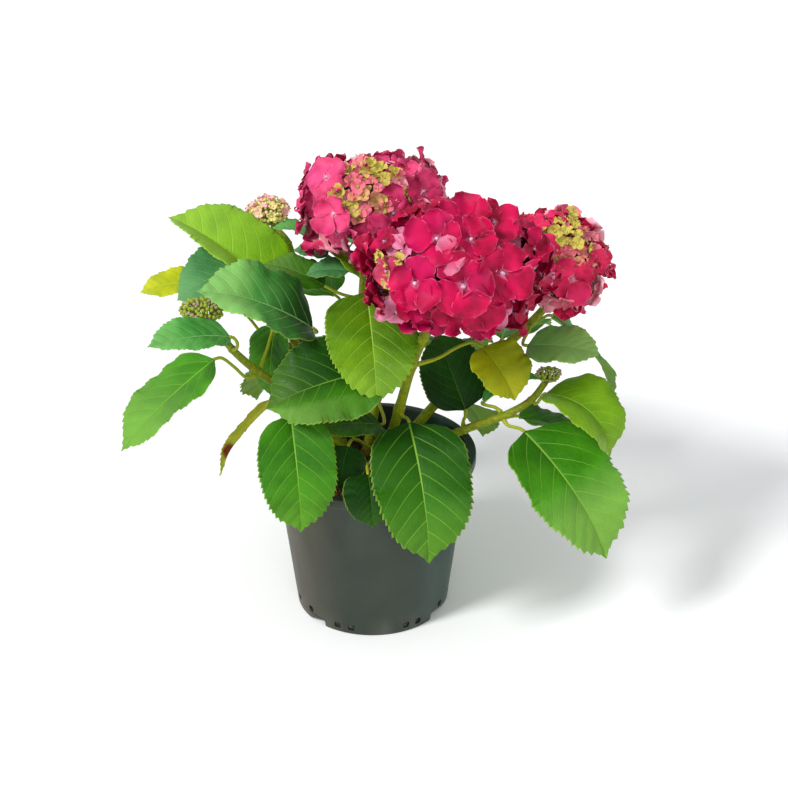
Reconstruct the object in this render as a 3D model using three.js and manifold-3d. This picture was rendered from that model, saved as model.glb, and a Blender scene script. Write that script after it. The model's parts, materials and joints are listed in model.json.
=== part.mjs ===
// Mophead hydrangea in a round nursery pot. Units are millimetres, +Z is up.
// The origin is the middle of the pot's underside. Compass headings are in degrees: 0 is +X,
// 90 is +Y and -90 is the front. A rise is an angle above the horizontal.
import * as THREE from 'three';
import { mergeVertices } from 'three/addons/utils/BufferGeometryUtils.js';
import Module from 'manifold-3d';

// ---- driving dimensions ----
const POT = {
  height: 161, rimRadius: 98.5, rimBand: 11, topRadius: 92.5, baseRadius: 73.5,
  wall: 2.2, floor: 2.5, footHeight: 8.5, hubRadius: 48, footHalfAngle: 43, footTurn: 6, facets: 40,
};
// drain holes come in pairs; those in the feet sit lower than those in the raised sides
const DRAIN = { width: 6, height: 6, depth: 12, inFeet: [-32, -21, 20, 30], inSides: [-75, -57, 54, 73] };
const SOIL = { surface: 140, edgeDrop: 3, flatRadius: 60 };
const GAP = 0.35;              // clearance between pieces that touch in the real plant
const HEAD_GAP = 1.5;          // between two flower heads that press together
const LIMB_SIDES = 8;
const PETIOLE_HALF = 1.9;      // half the thickness of a leaf stalk
const BLADE_THICKNESS = 1.8;
// blade outline: how far along the midrib, and the share of the full width there
const BLADE_OUTLINE = [
  [0, 0.07], [0.04, 0.46], [0.12, 0.78], [0.25, 0.96], [0.4, 1], [0.55, 0.96],
  [0.69, 0.84], [0.81, 0.64], [0.91, 0.38],
];
const COLOURS = {
  pot: '#3f4a44', soil: '#2a1c12', cane: '#8f9a1e', woody: '#5d4a26', bud: '#a3ab3a',
  crimson: '#c3083f', pink: '#d02a5e', lime: '#7db928', fresh: '#559a1c', yellow: '#b5c010', teal: '#4e8a5c',
  light: '#5fae58', mid: '#3f8a2e', deep: '#1f5a12', dark: '#123d0c', olive: '#8a8f08',
};

// ---- small helpers ----
const wasm = await Module();
wasm.setup();
const vec = (x, y, z) => new THREE.Vector3(x, y, z);
const rad = THREE.MathUtils.degToRad;

function direction(heading, rise) {
  const flat = Math.cos(rad(rise));
  return vec(flat * Math.cos(rad(heading)), flat * Math.sin(rad(heading)), Math.sin(rad(rise)));
}

function merged(geometry) {
  const copy = geometry.clone();
  for (const key of Object.keys(copy.attributes)) if (key !== 'position') copy.deleteAttribute(key);
  return mergeVertices(copy, 1e-4);
}

function toSolid(geometry) {
  const g = merged(geometry);
  return new wasm.Manifold(new wasm.Mesh({
    numProp: 3,
    vertProperties: new Float32Array(g.attributes.position.array),
    triVerts: new Uint32Array(g.index.array),
  }));
}

function fromSolid(solid) {
  const mesh = solid.getMesh();
  const g = new THREE.BufferGeometry();
  g.setAttribute('position', new THREE.BufferAttribute(new Float32Array(mesh.vertProperties), 3));
  g.setIndex([...mesh.triVerts]);
  return g;
}

function signedVolume(geometry) {
  const p = geometry.attributes.position;
  const index = geometry.index.array;
  const corner = (i) => vec().fromBufferAttribute(p, index[i]);
  let sum = 0;
  for (let i = 0; i < index.length; i += 3) {
    sum += corner(i).dot(corner(i + 1).cross(corner(i + 2)));
  }
  return sum / 6;
}

function facingOut(geometry) {
  const g = merged(geometry);
  if (signedVolume(g) < 0) {
    const index = g.index.array;
    for (let i = 0; i < index.length; i += 3) [index[i], index[i + 1]] = [index[i + 1], index[i]];
  }
  return g;
}

// A closed skin over rings of equal count; it ends in a flat cap, or in one point where tip is given.
function skin(rings, tip) {
  const n = rings[0].length;
  const positions = rings.flat().flatMap((p) => [p.x, p.y, p.z]);
  const index = [];
  for (let r = 0; r + 1 < rings.length; r++) {
    for (let k = 0; k < n; k++) {
      const a = r * n + k;
      const b = r * n + (k + 1) % n;
      index.push(a, b, b + n, a, b + n, a + n);
    }
  }
  for (let k = 1; k + 1 < n; k++) index.push(0, k + 1, k);
  const last = (rings.length - 1) * n;
  if (tip) {
    positions.push(tip.x, tip.y, tip.z);
    for (let k = 0; k < n; k++) index.push(last + k, last + (k + 1) % n, rings.length * n);
  } else {
    for (let k = 1; k + 1 < n; k++) index.push(last, last + k, last + k + 1);
  }
  const g = new THREE.BufferGeometry();
  g.setAttribute('position', new THREE.Float32BufferAttribute(positions, 3));
  g.setIndex(index);
  return facingOut(g);
}

const plant = new THREE.Group();

function add(name, geometry, colour, roughness = 0.6) {
  const material = new THREE.MeshStandardMaterial({ color: colour, roughness, metalness: 0 });
  const mesh = new THREE.Mesh(geometry, material);
  mesh.name = name;
  plant.add(mesh);
}

// ---- pot and soil ----
const lathe = (profile, facets) => facingOut(new THREE.LatheGeometry(
  profile.map(([r, z]) => new THREE.Vector2(r, z)), facets).rotateX(Math.PI / 2));

const wallRadius = (z) => POT.baseRadius + (POT.topRadius - POT.baseRadius) * z / POT.height;

function potShell() {
  const { height, rimRadius, rimBand, wall, floor, footHeight, hubRadius, facets } = POT;
  const skirt = POT.baseRadius - wall;
  const bandFoot = height - rimBand;
  const inner = (z) => wallRadius(z) - wall;
  const insideFloor = footHeight + floor;
  return lathe([
    [0, 0], [hubRadius, 0], [hubRadius + 6, footHeight], [skirt, footHeight], [skirt, 0],
    [POT.baseRadius, 0], [wallRadius(bandFoot), bandFoot], [rimRadius, bandFoot + 1.5],
    [rimRadius, height - 1], [rimRadius - 1, height], [inner(height), height],
    [inner(insideFloor), insideFloor], [hubRadius + 4, insideFloor], [hubRadius - 2, floor], [0, floor],
  ], facets);
}

// One block that stands across the wall at a compass angle; angles count from the front.
function wallBlock(angle, width, bottom, top, depth) {
  const box = new THREE.BoxGeometry(width, depth, top - bottom);
  box.translate(0, -POT.baseRadius, (top + bottom) / 2);
  return toSolid(box.rotateZ(rad(angle)));
}

function potGeometry() {
  let pot = toSolid(potShell());
  const sideSpan = 180 - 2 * POT.footHalfAngle;
  const step = 11;
  for (const side of [90, -90]) {
    for (let a = -sideSpan / 2 + step / 2; a <= sideSpan / 2; a += step) {
      pot = pot.subtract(wallBlock(POT.footTurn + side + a, 16, -1, POT.footHeight, 10));
    }
  }
  for (const face of [POT.footTurn, POT.footTurn + 180]) {
    for (const [angles, low] of [[DRAIN.inFeet, POT.footHeight - 4], [DRAIN.inSides, POT.footHeight + 0.5]]) {
      for (const angle of angles) {
        const hole = wallBlock(face + angle, DRAIN.width, low, low + DRAIN.height, DRAIN.depth);
        pot = pot.subtract(hole);
      }
    }
  }
  return facingOut(fromSolid(pot));
}

function soilGeometry() {
  const inner = (z) => wallRadius(z) - POT.wall - GAP;
  const bottom = POT.footHeight + POT.floor + GAP;
  const edge = SOIL.surface - SOIL.edgeDrop;
  return lathe([
    [0, bottom], [inner(bottom), bottom], [inner(edge), edge],
    [SOIL.flatRadius, SOIL.surface], [0, SOIL.surface],
  ], POT.facets);
}

// ---- canes: each is a foot on the soil and a run of internodes [length, heading, rise] ----
const CANES = {
  cane_centre: {
    foot: [8, 8], radii: [5.2, 3.6], woody: true,
    runs: [[30, -60, 62], [54, -62, 65], [56, -53, 70], [30, -29, 68], [68, -20, 64]],
  },
  cane_back: {
    foot: [-6, 26], radii: [4.8, 3.4],
    runs: [[62, 10, 80], [64, 60, 80], [46, 105, 72], [52, 115, 74]],
  },
  cane_left: {
    foot: [-14, 6], radii: [4.6, 3],
    runs: [[86, -168, 56], [56, -166, 41], [34, -167, 48], [34, 178, 58]],
  },
  cane_rear_left: {
    foot: [-24, 24], radii: [4.6, 3],
    runs: [[84, 170, 72], [50, 156, 56], [50, 86, 48], [42, 104, 46], [24, 140, 34]],
  },
  cane_right: {
    foot: [26, 2], radii: [4.6, 3],
    runs: [[64, -18, 40], [16, -9, 32], [39, -10, 26], [31, -9, 36], [24, -13, 58]],
  },
  cane_rear_right: {
    foot: [20, 26], radii: [5, 3.6],
    runs: [[76, 6, 52], [62, 0, 42], [50, -6, 47], [36, -5, 52]],
  },
  cane_rear: {
    foot: [-2, 46], radii: [4.6, 3],
    runs: [[78, 100, 62], [54, 95, 56], [44, 85, 60], [30, 90, 66]],
  },
};

function caneNodes(cane) {
  const points = [vec(cane.foot[0], cane.foot[1], SOIL.surface + GAP)];
  for (const [length, heading, rise] of cane.runs) {
    points.push(points.at(-1).clone().addScaledVector(direction(heading, rise), length));
  }
  return points;
}

for (const cane of Object.values(CANES)) {
  cane.nodes = caneNodes(cane);
  cane.curve = new THREE.CatmullRomCurve3(cane.nodes, false, 'centripetal');
  cane.radius = (t) => THREE.MathUtils.lerp(cane.radii[0], cane.radii[1], t);
}

// Rings of a limb along its cane; extra widens it, for cutting the pocket where it enters a flower head.
function limbGeometry(cane, extra = 0) {
  const steps = cane.runs.length * 3;
  const rings = [];
  let tangent = vec(0, 0, 1);
  let side = vec(1, 0, 0);
  for (let i = 0; i <= steps; i++) {
    const t = i / steps;
    const centre = cane.curve.getPoint(t);
    const next = i === 0 ? vec(0, 0, 1) : cane.curve.getTangent(t);
    side.applyQuaternion(new THREE.Quaternion().setFromUnitVectors(tangent, next));
    tangent = next;
    const up = tangent.clone().cross(side);
    const r = cane.radius(t) + extra;
    rings.push(Array.from({ length: LIMB_SIDES }, (_, k) => {
      const a = 2 * Math.PI * k / LIMB_SIDES;
      return centre.clone().addScaledVector(side, r * Math.cos(a)).addScaledVector(up, r * Math.sin(a));
    }));
  }
  return skin(rings);
}

// ---- leaves ----
// Each row: the cane and the place the stalk springs from, counted in nodes; stalk and blade as
// [length, heading, rise], the blade's from its base to its tip; its width; arch, how far the midrib
// bows up from that line; roll, the turn about it; fold, how far each half is raised from flat; and
// its colour.
const LEAVES = {
  leaf_front_centre: ['cane_centre', 2, [26, -70, -2], [129, -77, -50], 90, 14, 0, 8, 'mid'],
  leaf_left_centre: ['cane_centre', 3, [31, -164, -2], [106, -163, -12], 88, 8, -32, 6, 'deep'],
  leaf_right_centre: ['cane_centre', 3, [66, 14, 8], [56, -46, -42], 59, 4, 10, 14, 'olive'],
  leaf_under_bloom: ['cane_centre', 4, [16, 130, -20], [56, 125, -48], 44, 5, 0, 10, 'dark'],
  leaf_low_front: ['cane_centre', 1, [83, -102, 10], [48, -82, -48], 50, 8, 0, 8, 'dark'],
  leaf_low_shaded: ['cane_centre', 1, [60, -130, 22], [40, -112, -62], 46, 4, 0, 8, 'dark'],
  leaf_low_left: ['cane_back', 1, [42, -85, -10], [76, -142, 14], 44, 5, -20, 10, 'deep'],
  leaf_centre_bright: ['cane_back', 3, [58, -100, 14], [108, -83, -40], 82, 8, 0, 6, 'fresh'],
  leaf_under_pink_bloom: ['cane_back', 3.3, [28, -124, 4], [34, 150, 34], 26, 3, 0, 12, 'lime'],
  leaf_left_inner: ['cane_back', 3, [37, -149, 32], [40, 178, -5], 34, 3, -10, 8, 'teal'],
  leaf_left_grey: ['cane_back', 3.15, [50, 172, 20], [34, 160, 5], 30, 3, -10, 10, 'teal'],
  leaf_left_top: ['cane_rear_left', 3, [38, -116, 4], [124, 158, 30], 100, 9, -2, 24, 'lime'],
  leaf_left_behind: ['cane_back', 2.75, [54, -168, 16], [60, 168, 18], 42, 4, -14, 8, 'deep'],
  leaf_left_back: ['cane_rear_left', 2, [74, 140, 44], [74, -166, -18], 72, 8, -20, 10, 'teal'],
  leaf_left_yellow: ['cane_rear_left', 1.8, [112, 149, 20], [61, -173, -4], 42, 4, -16, 8, 'yellow'],
  leaf_left_large: ['cane_rear_left', 2, [59, -64, 28], [116, -158, 28], 84, 8, -26, 14, 'light'],
  leaf_left_drooping: ['cane_left', 2, [46, -158, 26], [115, -149, -34], 74, 3, 0, 8, 'mid'],
  leaf_left_hanging: ['cane_left', 2, [52, 72, 34], [72, -120, -80], 46, 4, 0, 10, 'deep'],
  leaf_left_edge: ['cane_left', 3, [34, -88, 44], [76, -149, 5], 44, 6, -18, 12, 'light'],
  leaf_left_curled: ['cane_left', 1, [40, -140, 22], [84, -149, -44], 20, 4, 60, 20, 'olive'],
  leaf_front_left: ['cane_left', 1, [68, -98, 18], [106, -77, -66], 70, 8, 0, 10, 'mid'],
  leaf_right_dark: ['cane_right', 2, [20, 84, 44], [76, 128, 55], 64, 0, -20, 6, 'dark'],
  leaf_right_arching: ['cane_right', 3, [24, 140, 20], [60, 10, 20], 26, 6, 0, 20, 'light'],
  leaf_front_right: ['cane_right', 3, [28, -46, -12], [136, -44, -41], 100, 12, 10, 10, 'mid'],
  leaf_right_under: ['cane_right', 3, [20, 32, -15], [76, 6, -27], 50, 5, 0, 10, 'deep'],
  leaf_right_olive: ['cane_right', 4, [16, -13, 32], [83, -34, -31], 70, 20, 6, 16, 'fresh'],
  leaf_right_pale: ['cane_rear_right', 3, [38, -97, -8], [68, -24, 3], 56, 5, 14, 5, 'light'],
  leaf_right_outer: ['cane_rear_right', 3, [26, 30, 4], [112, 12, -52], 58, 8, 0, 8, 'mid'],
  leaf_right_lime: ['cane_rear_right', 2, [24, 150, -10], [38, 100, -75], 24, 3, 0, 10, 'lime'],
  leaf_rim_right: ['cane_rear_right', 1, [26, 11, -20], [60, 56, -55], 46, 5, 0, 10, 'deep'],
  leaf_rear_low: ['cane_rear', 1, [40, 120, 20], [125, 112, -42], 92, 12, 0, 10, 'mid'],
  leaf_rear_low_left: ['cane_rear', 1, [48, 172, 4], [112, 141, -38], 84, 12, 0, 10, 'deep'],
  leaf_rear_right: ['cane_rear', 2, [34, 30, 20], [118, 45, -16], 88, 12, 0, 10, 'mid'],
  leaf_rear_left: ['cane_rear', 2, [34, 150, 20], [118, 140, -14], 86, 12, 0, 10, 'mid'],
  leaf_rear_upper: ['cane_rear', 3, [28, 80, 20], [120, 88, -20], 88, 12, 0, 10, 'light'],
  leaf_rear_upper_left: ['cane_rear', 3, [66, -138, 36], [50, -172, 22], 36, 5, 0, 10, 'light'],
  leaf_rear_right_low: ['cane_rear_right', 1, [60, 85, 30], [100, 80, -35], 84, 12, 0, 10, 'deep'],
  leaf_rear_right_upper: ['cane_rear_right', 2, [36, 70, 10], [118, 80, -24], 86, 12, 0, 10, 'mid'],
};

function leafGeometry([caneName, node, stalkSize, bladeSize, width, arch, roll, fold]) {
  const cane = CANES[caneName];
  const at = node / cane.runs.length;
  const root = cane.curve.getPoint(at);
  const along = cane.curve.getTangent(at);
  const [stalkLength, stalkHeading, stalkRise] = stalkSize;
  const [length, heading, rise] = bladeSize;

  const leave = direction(stalkHeading, stalkRise);
  const outward = leave.clone().addScaledVector(along, -leave.dot(along)).normalize();
  const foot = root.clone().addScaledVector(outward, cane.radius(at) + GAP);
  const base = root.clone().addScaledVector(leave, stalkLength);

  const chord = direction(heading, rise);
  const facing = direction(heading, rise + 90).applyAxisAngle(chord, rad(roll));
  const across = facing.clone().cross(chord);
  const midrib = (t) => base.clone().addScaledVector(chord, length * t)
    .addScaledVector(facing, arch * 4 * t * (1 - t));
  const slope = (t) => chord.clone().multiplyScalar(length)
    .addScaledVector(facing, arch * 4 * (1 - 2 * t)).normalize();

  const stalk = new THREE.CubicBezierCurve3(
    foot, foot.clone().addScaledVector(outward, stalkLength * 0.35),
    base.clone().addScaledVector(slope(0), -stalkLength * 0.35), base);

  const bladeRings = BLADE_OUTLINE.map(([t, share]) => {
    const centre = midrib(t);
    const top = slope(t).clone().cross(across).normalize();
    const half = Math.max(width * share / 2, PETIOLE_HALF);
    const lift = t === 0 ? 0 : rad(fold);
    const out = (sign) => centre.clone().addScaledVector(across, sign * half * Math.cos(lift))
      .addScaledVector(top, half * Math.sin(lift));
    const thick = t === 0 ? PETIOLE_HALF : BLADE_THICKNESS / 2;
    return [out(1), centre.clone().addScaledVector(top, thick), out(-1),
      centre.clone().addScaledVector(top, -thick)];
  });

  const stalkRings = [];
  let tangent = slope(0);
  const side = across.clone();
  for (const u of [0.8, 0.55, 0.28, 0]) {
    const next = stalk.getTangent(u);
    side.applyQuaternion(new THREE.Quaternion().setFromUnitVectors(tangent, next));
    tangent = next;
    const top = tangent.clone().cross(side);
    const centre = stalk.getPoint(u);
    stalkRings.unshift([[side, 1], [top, 1], [side, -1], [top, -1]].map(([axis, sign]) =>
      centre.clone().addScaledVector(axis, sign * PETIOLE_HALF)));
  }
  return skin([...stalkRings, ...bladeRings], midrib(1));
}

// ---- flower heads: uneven domes, and small heads still in bud ----
// radii: half widths across, front to back and upward; under: share of the upward radius below the
// middle. tilt leans the dome's crown towards heading.
const HEADS = {
  bloom_front: {
    cane: 'cane_centre', centre: [72, -52, 361], radii: [78, 58, 62], under: 0.85, lean: [10, -90],
    shoulder: 0.1, lumps: 0.05, seed: 1, tint: 'crimson',
  },
  bloom_back: {
    cane: 'cane_back', centre: [0, 60, 380], radii: [66, 58, 50], under: 0.7, lean: [8, 120],
    shoulder: 0.2, lumps: 0.05, seed: 2, tint: 'pink',
  },
  bloom_right: {
    cane: 'cane_rear_right', centre: [163, 24, 338], radii: [54, 52, 54], under: 0.65, lean: [12, 180],
    shoulder: 0.08, lumps: 0.05, seed: 3, tint: 'crimson',
  },
  bud_top_left: {
    cane: 'cane_rear_left', centre: [-99, 118, 354], radii: [20, 18, 12], under: 0.8, lean: [0, 0],
    shoulder: 0, lumps: 0.08, seed: 4, tint: 'bud',
  },
  bud_left: {
    cane: 'cane_left', centre: [-148, -20, 312], radii: [21, 18, 10], under: 0.8, lean: [0, 0],
    shoulder: 0, lumps: 0.08, seed: 5, tint: 'bud',
  },
  bud_right: {
    cane: 'cane_right', centre: [160, -28, 252], radii: [12, 11, 8], under: 0.8, lean: [0, 0],
    shoulder: 0, lumps: 0.08, seed: 6, tint: 'bud',
  },
  bud_rear: {
    cane: 'cane_rear', centre: [-9, 149, 328], radii: [20, 18, 11], under: 0.8, lean: [0, 0],
    shoulder: 0, lumps: 0.08, seed: 7, tint: 'bud',
  },
};

function headGeometry(head, extra = 0) {
  const large = head.radii[0] > 40;
  const g = new THREE.SphereGeometry(1, large ? 22 : 12, large ? 12 : 7).rotateX(Math.PI / 2);
  const p = g.attributes.position;
  const [tiltAngle, tiltHeading] = head.lean;
  const axis = direction(tiltHeading + 90, 0);
  for (let i = 0; i < p.count; i++) {
    const v = vec().fromBufferAttribute(p, i);
    const turn = Math.atan2(v.y, v.x);
    const round = Math.hypot(v.x, v.y);
    const lobes = Math.sin(3 * turn + head.seed) + 0.6 * Math.sin(5 * turn + 2 * head.seed);
    const bands = 0.5 * Math.sin(4 * v.z + head.seed);
    v.multiplyScalar(1 + head.lumps * (round * lobes + bands) + head.shoulder * 4 * (round * v.z) ** 2);
    const [rx, ry, rz] = head.radii.map((r) => r + extra);
    v.set(v.x * rx, v.y * ry, v.z * rz * (v.z < 0 ? head.under : 1));
    v.applyAxisAngle(axis, rad(tiltAngle)).add(vec(...head.centre));
    p.setXYZ(i, v.x, v.y, v.z);
  }
  return facingOut(g);
}

// ---- assembly ----
add('pot', potGeometry(), COLOURS.pot, 0.45);
add('potting_soil', soilGeometry(), COLOURS.soil, 0.95);
for (const [name, cane] of Object.entries(CANES)) {
  add(name, limbGeometry(cane), cane.woody ? COLOURS.woody : COLOURS.cane);
}
const cutBy = { bloom_back: ['bloom_front'], bloom_right: ['bloom_front'] };
for (const [name, head] of Object.entries(HEADS)) {
  let solid = toSolid(headGeometry(head)).subtract(toSolid(limbGeometry(CANES[head.cane], 0.5)));
  for (const other of cutBy[name] ?? []) {
    solid = solid.subtract(toSolid(headGeometry(HEADS[other], HEAD_GAP)));
  }
  add(name, facingOut(fromSolid(solid)), COLOURS[head.tint], 0.7);
}
for (const [name, leaf] of Object.entries(LEAVES)) {
  add(name, leafGeometry(leaf), COLOURS[leaf.at(-1)]);
}

export default plant;
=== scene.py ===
"""Mophead hydrangea in a round nursery pot: leaves, canes, flower heads, potting mix and pot.

Everything is in metres in the row frame: +Z is up and -Y is the front. The leaves, canes and flower
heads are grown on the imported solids, whose rings give each leaf its midrib, width and fold.
"""
import json
import math

import bmesh
import bpy
import numpy as np
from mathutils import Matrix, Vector
from mathutils.bvhtree import BVHTree

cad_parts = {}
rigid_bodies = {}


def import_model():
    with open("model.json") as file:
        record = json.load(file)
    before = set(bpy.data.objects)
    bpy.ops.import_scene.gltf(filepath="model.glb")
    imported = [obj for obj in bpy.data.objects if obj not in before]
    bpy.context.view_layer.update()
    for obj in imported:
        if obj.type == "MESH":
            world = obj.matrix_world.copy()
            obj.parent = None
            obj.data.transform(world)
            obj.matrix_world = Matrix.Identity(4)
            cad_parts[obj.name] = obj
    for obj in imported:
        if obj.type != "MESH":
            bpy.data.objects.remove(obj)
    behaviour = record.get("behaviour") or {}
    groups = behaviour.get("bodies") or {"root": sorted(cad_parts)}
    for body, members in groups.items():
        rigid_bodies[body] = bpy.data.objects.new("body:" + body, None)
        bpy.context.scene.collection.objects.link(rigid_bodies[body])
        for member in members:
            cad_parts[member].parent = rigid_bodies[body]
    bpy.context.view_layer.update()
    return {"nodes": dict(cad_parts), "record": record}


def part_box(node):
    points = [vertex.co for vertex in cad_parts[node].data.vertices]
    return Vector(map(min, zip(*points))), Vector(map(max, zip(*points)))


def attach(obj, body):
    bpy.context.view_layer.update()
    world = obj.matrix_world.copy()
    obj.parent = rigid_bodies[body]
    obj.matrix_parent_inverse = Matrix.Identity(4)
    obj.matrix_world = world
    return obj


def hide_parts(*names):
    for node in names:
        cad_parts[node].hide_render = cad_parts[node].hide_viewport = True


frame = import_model()
MM = 0.001


# ---- short ways to write a node tree ----
def colour(code):
    """A hex colour as the linear numbers that Blender's sockets take."""
    parts = [int(code[i:i + 2], 16) / 255 for i in (1, 3, 5)]
    linear = [c / 12.92 if c <= 0.04045 else ((c + 0.055) / 1.055) ** 2.4 for c in parts]
    return (*linear, 1.0)


def node(tree, kind, inputs=(), **settings):
    made = tree.nodes.new(kind)
    for key, value in settings.items():
        setattr(made, key, value)
    pairs = inputs.items() if isinstance(inputs, dict) else enumerate(inputs)
    for socket, value in pairs:
        target = made.inputs[socket]
        if isinstance(value, bpy.types.NodeSocket):
            tree.links.new(value, target)
        elif value is not None:
            target.default_value = value
    return made


def maths(tree, operation, *inputs):
    return node(tree, "ShaderNodeMath", inputs, operation=operation).outputs[0]


def times(tree, first, second):
    return maths(tree, "MULTIPLY", first, second)


def larger(tree, first, second):
    return maths(tree, "MAXIMUM", first, second)


def stepped(tree, value, low, high, start=0.0, end=1.0):
    """A smooth step from start to end as value goes from low to high."""
    inputs = {"Value": value, "From Min": low, "From Max": high, "To Min": start, "To Max": end}
    return node(tree, "ShaderNodeMapRange", inputs, interpolation_type="SMOOTHSTEP").outputs[0]


def mixed(tree, factor, first, second):
    """From first to second as the factor rises; each is a socket or a hex colour."""
    first, second = [colour(end) if isinstance(end, str) else end for end in (first, second)]
    return node(tree, "ShaderNodeMix", {0: factor, 6: first, 7: second}, data_type="RGBA").outputs[2]


def noise(tree, scale, detail=3.0, vector=None, roughness=0.5):
    inputs = {"Vector": vector, "Scale": scale, "Detail": detail, "Roughness": roughness}
    return node(tree, "ShaderNodeTexNoise", inputs).outputs[0]


def attribute(tree, name):
    return node(tree, "ShaderNodeAttribute", attribute_name=name).outputs["Fac"]


def object_place(tree):
    return node(tree, "ShaderNodeTexCoord").outputs["Object"]


def shape_place(tree):
    """The place on the mesh's own uv map."""
    return node(tree, "ShaderNodeUVMap", uv_map="shape").outputs[0]


def parts_of(tree, place):
    return node(tree, "ShaderNodeSeparateXYZ", [place]).outputs


def stretched(tree, place, scale):
    return node(tree, "ShaderNodeMapping", {"Vector": place, "Scale": scale}).outputs[0]


def shader_socket(material, name):
    return material.node_tree.nodes["Principled BSDF"].inputs[name]


def new_material(name, roughness, specular):
    """A material with one Principled shader, and its node tree."""
    material = bpy.data.materials.new(name)
    material.use_nodes = True
    shader_socket(material, "Roughness").default_value = roughness
    shader_socket(material, "Specular IOR Level").default_value = specular
    return material, material.node_tree


def finish_surface(material, base, height, strength, distance):
    """The material again, with its base colour and a bump from the height."""
    tree = material.node_tree
    tree.links.new(base, shader_socket(material, "Base Color"))
    bump = node(tree, "ShaderNodeBump", {"Strength": strength, "Distance": distance, "Height": height})
    tree.links.new(bump.outputs[0], shader_socket(material, "Normal"))
    return material


# ---- meshes from arrays ----
def placed(name, data):
    """A new object that holds the data, linked to the scene."""
    made = bpy.data.objects.new(name, data)
    bpy.context.scene.collection.objects.link(made)
    return made


def mesh_object(name, points, faces, materials=(), face_material=None, uv=None, marks=None, smooth=True):
    """An object at the origin, with a pair of uv and one number of each mark for every point."""
    mesh = bpy.data.meshes.new(name)
    mesh.from_pydata([tuple(p) for p in points], [], [tuple(int(i) for i in f) for f in faces])
    for material in materials:
        mesh.materials.append(material)
    if face_material is not None:
        mesh.polygons.foreach_set("material_index", np.asarray(face_material, np.int32))
    mesh.polygons.foreach_set("use_smooth", np.full(len(mesh.polygons), smooth))
    corner = np.zeros(len(mesh.loops), np.int32)
    mesh.loops.foreach_get("vertex_index", corner)
    if uv is not None:
        layer = mesh.uv_layers.new(name="shape")
        layer.data.foreach_set("uv", np.asarray(uv, np.float32)[corner].ravel())
    for key, values in (marks or {}).items():
        mark = mesh.attributes.new(key, "FLOAT", "POINT")
        mark.data.foreach_set("value", np.asarray(values, np.float32))
    mesh.update()
    return placed(name, mesh)


def unit(v):
    v = np.asarray(v, float)
    return v / np.maximum(np.linalg.norm(v, axis=-1, keepdims=True), 1e-12)


def heading_rise(heading, rise):
    flat = math.cos(math.radians(rise))
    turn = math.radians(heading)
    return np.array([flat * math.cos(turn), flat * math.sin(turn), math.sin(math.radians(rise))])


def degrees_apart(way, unit_way):
    return math.degrees(math.acos(np.clip(unit(way) @ unit_way, -1, 1)))


def smooth(x, low, high):
    t = np.clip((np.asarray(x, float) - low) / (high - low), 0, 1)
    return t * t * (3 - 2 * t)


def merged_points(name):
    """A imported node's points with its loose triangles joined, and each point's neighbours."""
    mesh = frame["nodes"][name].data
    raw = np.zeros(len(mesh.vertices) * 3)
    mesh.vertices.foreach_get("co", raw)
    raw = raw.reshape(-1, 3)
    keys = np.round(raw * 1e5).astype(np.int64)
    _, first, same = np.unique(keys, axis=0, return_index=True, return_inverse=True)
    same = same.ravel()
    neighbours = [set() for _ in first]
    for face in mesh.polygons:
        corners = [int(same[i]) for i in face.vertices]
        for a in corners:
            neighbours[a].update(b for b in corners if b != a)
    return raw[first], neighbours


def layers_from(start, neighbours):
    """Points by how many edges they are from the start ones: the rings of a loft."""
    seen = set(start)
    layers = [sorted(start)]
    while layers[-1]:
        ahead = set().union(*(neighbours[a] for a in layers[-1])) - seen
        seen |= ahead
        layers.append(sorted(ahead))
    return layers[:-1]


def catmull(points, per_span):
    """Points along a smooth line through the given ones."""
    p = np.vstack([2 * points[0] - points[1], points, 2 * points[-1] - points[-2]])
    t = np.linspace(0, 1, per_span, endpoint=False)[:, None]
    spans = []
    for i in range(len(points) - 1):
        a, b, c, d = p[i:i + 4]
        spans.append(0.5 * (2 * b + (c - a) * t + (2 * a - 5 * b + 4 * c - d) * t ** 2
                            + (3 * b - a - 3 * c + d) * t ** 3))
    return np.vstack([*spans, points[-1:]])


def ring_faces(rings, sides, first=0):
    """Quads between each ring of points and the next, from the point numbered first."""
    faces = []
    for r in range(rings - 1):
        for k in range(sides):
            a = first + r * sides + k
            b = first + r * sides + (k + 1) % sides
            faces.append([a, b, b + sides, a + sides])
    return faces


def turned_faces(rings, sides):
    """Faces of a turned shape: a lowest point, rings of points and a highest point."""
    top = 1 + rings * sides
    base = top - sides
    faces = [[0, 1 + (k + 1) % sides, 1 + k] for k in range(sides)]
    faces += ring_faces(rings, sides, 1)
    return faces + [[base + k, base + (k + 1) % sides, top] for k in range(sides)]


def joined(parts):
    """Points, faces and uv of several parts as those of one."""
    points, faces, uv = [], [], []
    count = 0
    for part_points, part_faces, part_uv in parts:
        points.append(part_points)
        faces.extend([[i + count for i in face] for face in part_faces])
        uv.append(part_uv)
        count += len(part_points)
    return np.vstack(points), faces, np.vstack(uv)


def tube(line, radii, sides):
    """Points, faces and uv of a closed round tube along a line, with its ends capped."""
    tangents = unit(np.gradient(line, axis=0))
    side = unit(np.cross(tangents[0], [0.3, 0.9, 0.2]))
    angles = np.linspace(0, 2 * math.pi, sides, endpoint=False)
    lengths = np.concatenate([[0], np.cumsum(np.linalg.norm(np.diff(line, axis=0), axis=1))])
    points = []
    uv = []
    for i, tangent in enumerate(tangents):
        side = unit(side - tangent * np.dot(side, tangent))
        up = np.cross(tangent, side)
        ring = line[i] + radii[i] * (np.outer(np.cos(angles), side) + np.outer(np.sin(angles), up))
        points.append(ring)
        uv.append(np.column_stack([angles * radii[i] * 100, np.full(sides, lengths[i] * 100)]))
    k = np.arange(sides)
    faces = ring_faces(len(line), sides)
    faces.append(list(k[::-1]))
    faces.append(list((len(line) - 1) * sides + k))
    return np.vstack(points), faces, np.vstack(uv)


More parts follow.
